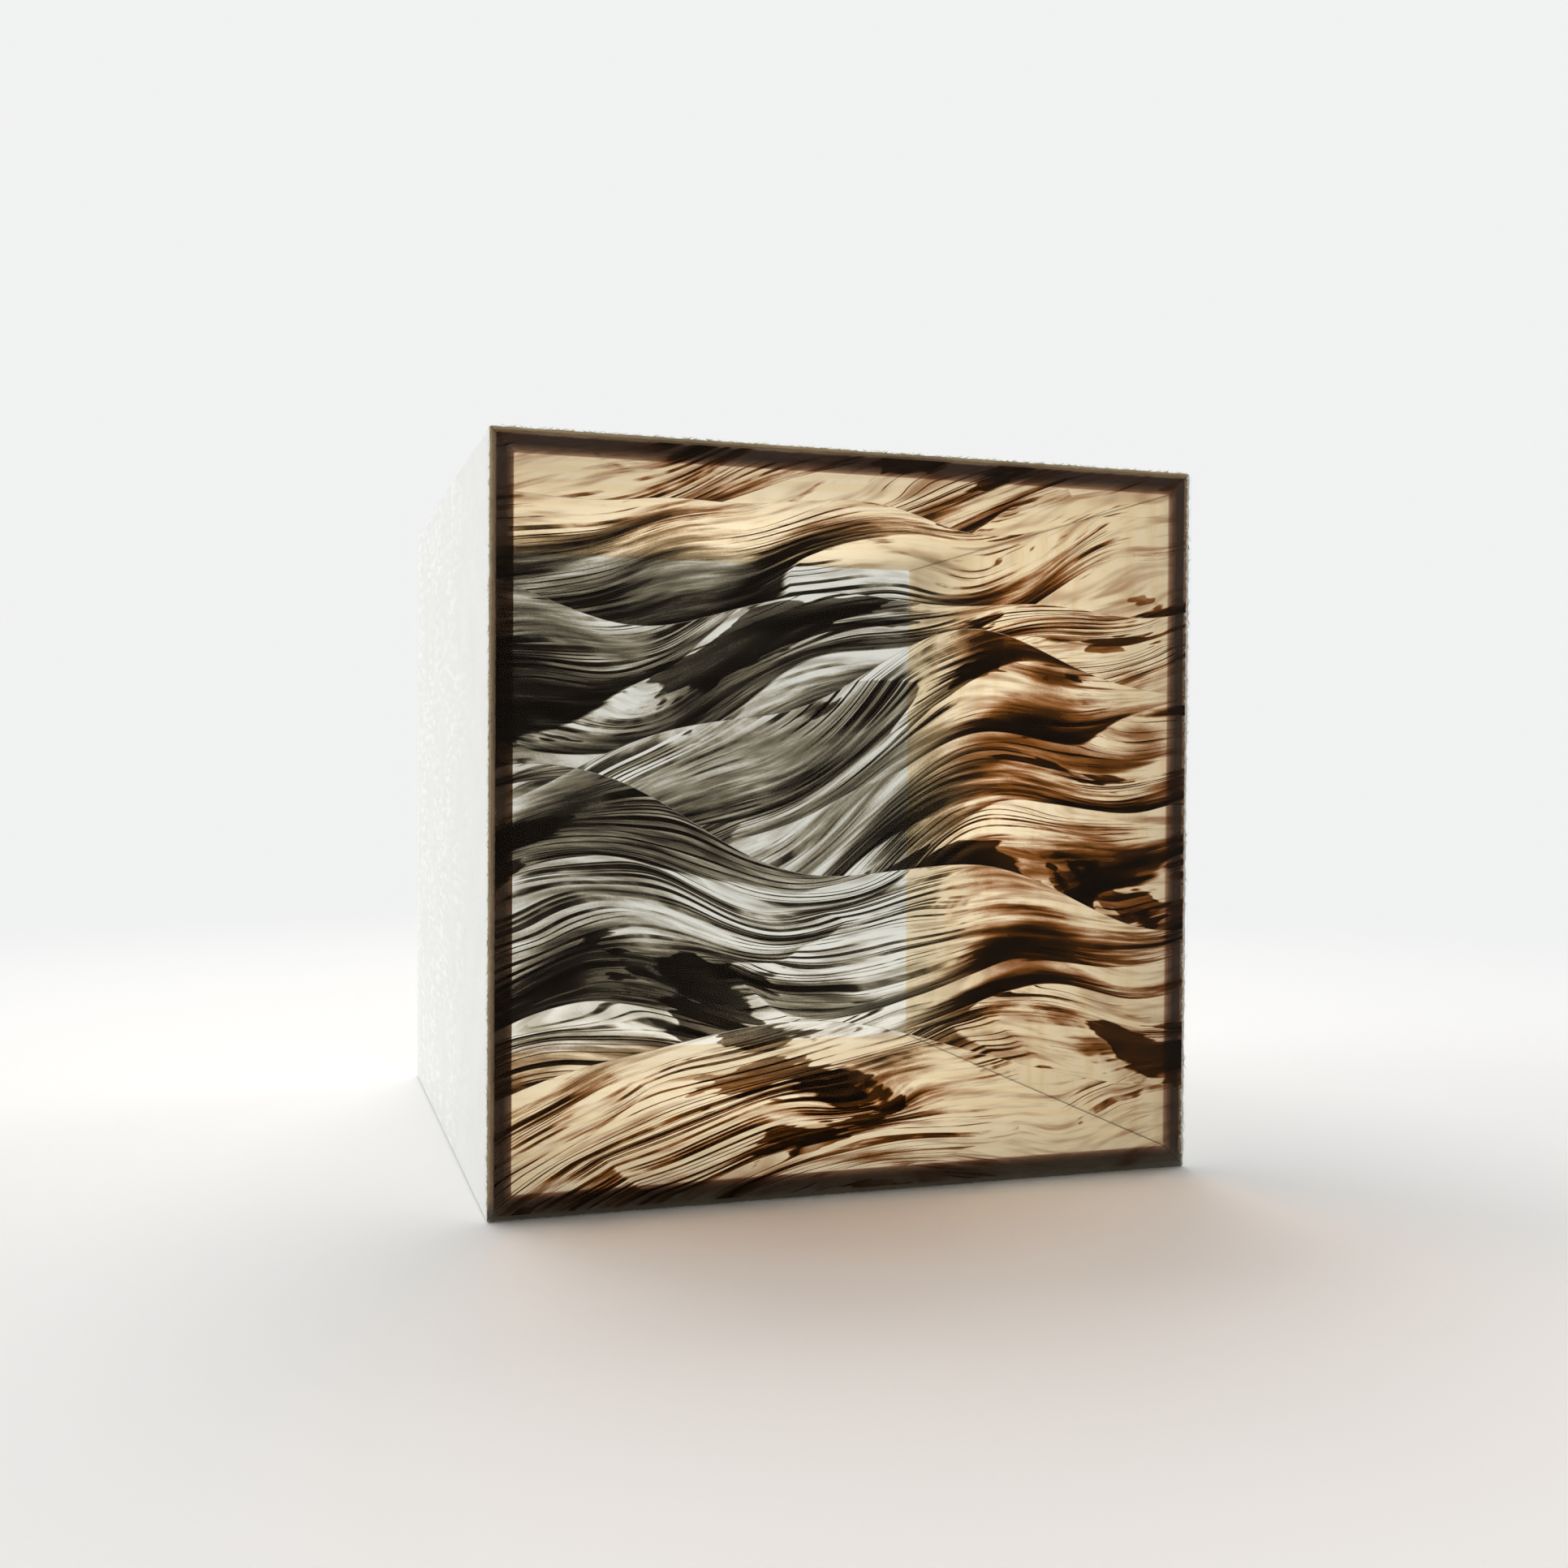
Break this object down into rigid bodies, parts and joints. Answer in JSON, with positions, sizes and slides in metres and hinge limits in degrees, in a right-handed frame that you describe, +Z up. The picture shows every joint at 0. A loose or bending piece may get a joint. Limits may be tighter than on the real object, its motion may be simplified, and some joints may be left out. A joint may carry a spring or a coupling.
{
  "type": "photo cube",
  "caption": "Open-backed square wood box, white outside and bare inside, with a see-through picture behind a clear pane across its front. It stands on a shelf or table.",
  "frame": {"origin": "middle of the base, on the surface that the cube stands on", "axes": "+Z up, the picture faces -Y and the open back faces +Y, +X is to the right of someone who looks at the picture"},
  "size_m": [0.1016, 0.1016, 0.1016],
  "materials": {
    "painted_wood": "matt white paint on the outer faces, bare warm wood on the inner faces and the cut front and back edges",
    "clear_pane": "clear, flat and glossy",
    "picture_print": "see-through print in cream, tan and dark brown",
    "clear_tape": "clear, slightly hazy double-sided tape"
  },
  "bodies": {
    "root": {"left_wall": "painted_wood", "right_wall": "painted_wood", "bottom_wall": "painted_wood", "top_wall": "painted_wood", "front_pane": "clear_pane", "picture_film": "picture_print", "bottom_tape": "clear_tape", "top_tape": "clear_tape", "left_tape": "clear_tape", "right_tape": "clear_tape"}
  },
  "joints": []
}
